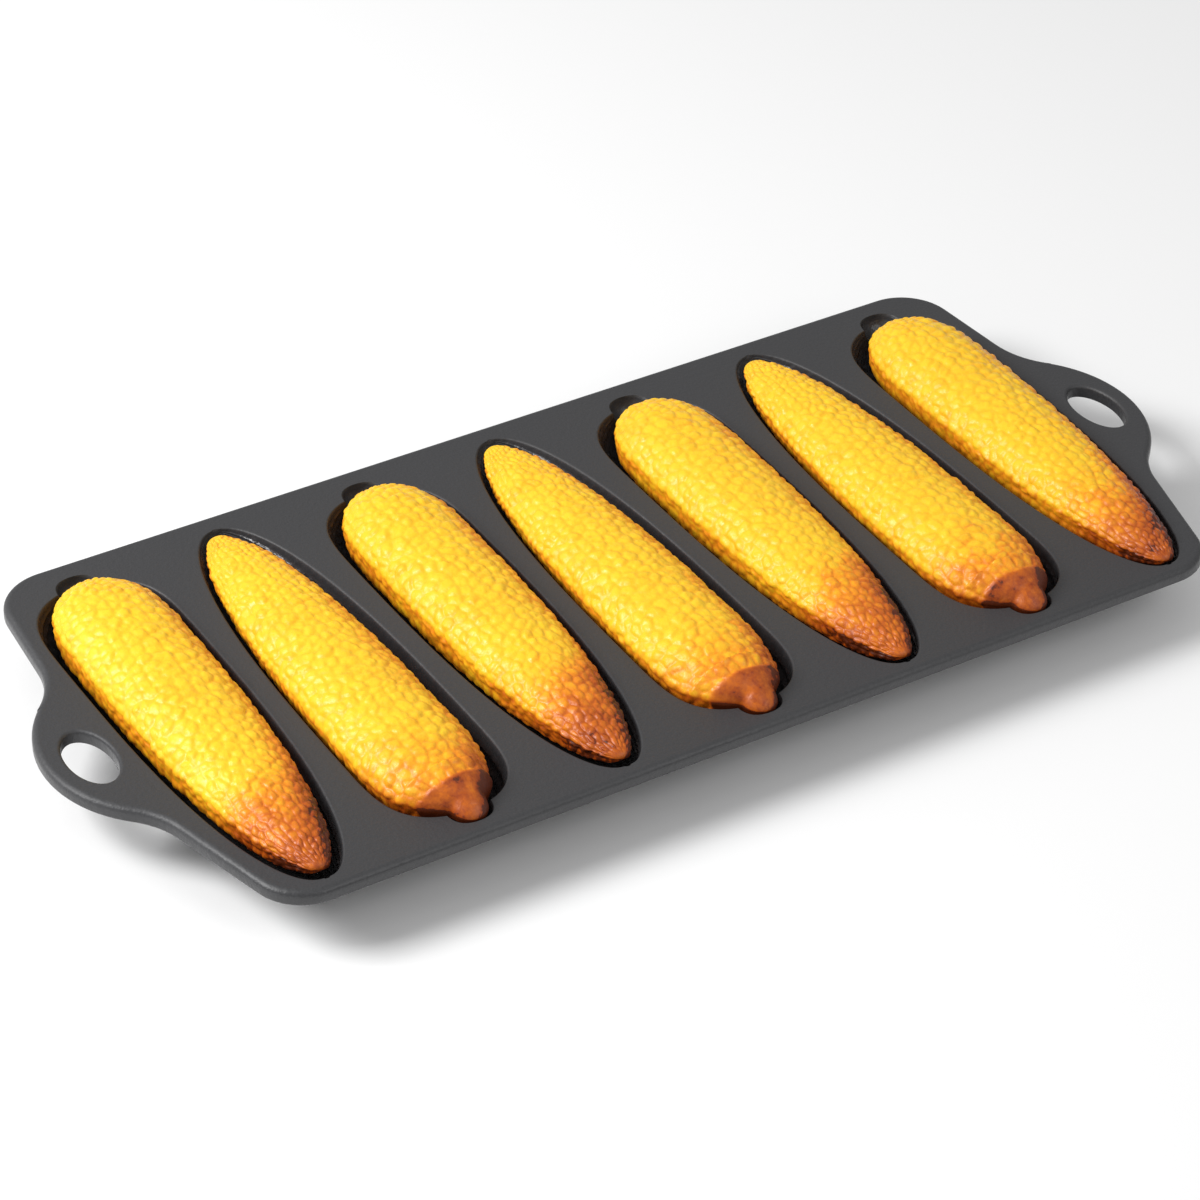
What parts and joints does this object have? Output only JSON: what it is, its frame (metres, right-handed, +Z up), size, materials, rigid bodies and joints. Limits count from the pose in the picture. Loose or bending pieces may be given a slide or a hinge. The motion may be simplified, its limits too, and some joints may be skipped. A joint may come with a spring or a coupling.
{
  "type": "corn stick pan",
  "caption": "Cast iron pan with ear-shaped cups in a row, a slotted handle at each end, and baked corn sticks lying in the cups.",
  "frame": {"origin": "under the middle of the pan, on the surface that the bottoms of the cups stand on", "axes": "+X along the row of cups from the left handle to the right one, +Y from the near long edge to the far one, +Z up"},
  "size_m": [0.3424, 0.153, 0.0297],
  "materials": {
    "iron": "seasoned, nearly matt, fine sand-cast grain",
    "cornbread": "baked crust, yellow with browned ends"
  },
  "bodies": {
    "casting": {"pan": "iron"},
    "stick_1": {"corn_stick_1": "cornbread"},
    "stick_2": {"corn_stick_2": "cornbread"},
    "stick_3": {"corn_stick_3": "cornbread"},
    "stick_4": {"corn_stick_4": "cornbread"},
    "stick_5": {"corn_stick_5": "cornbread"},
    "stick_6": {"corn_stick_6": "cornbread"},
    "stick_7": {"corn_stick_7": "cornbread"}
  },
  "joints": [
    {"name": "lift_stick_1", "type": "slide", "parent": "casting", "child": "stick_1", "axis": [0, 0, 1], "range_m": [0, 0.05]},
    {"name": "lift_stick_2", "type": "slide", "parent": "casting", "child": "stick_2", "axis": [0, 0, 1], "range_m": [0, 0.05]},
    {"name": "lift_stick_3", "type": "slide", "parent": "casting", "child": "stick_3", "axis": [0, 0, 1], "range_m": [0, 0.05]},
    {"name": "lift_stick_4", "type": "slide", "parent": "casting", "child": "stick_4", "axis": [0, 0, 1], "range_m": [0, 0.05]},
    {"name": "lift_stick_5", "type": "slide", "parent": "casting", "child": "stick_5", "axis": [0, 0, 1], "range_m": [0, 0.05]},
    {"name": "lift_stick_6", "type": "slide", "parent": "casting", "child": "stick_6", "axis": [0, 0, 1], "range_m": [0, 0.05]},
    {"name": "lift_stick_7", "type": "slide", "parent": "casting", "child": "stick_7", "axis": [0, 0, 1], "range_m": [0, 0.05]}
  ]
}
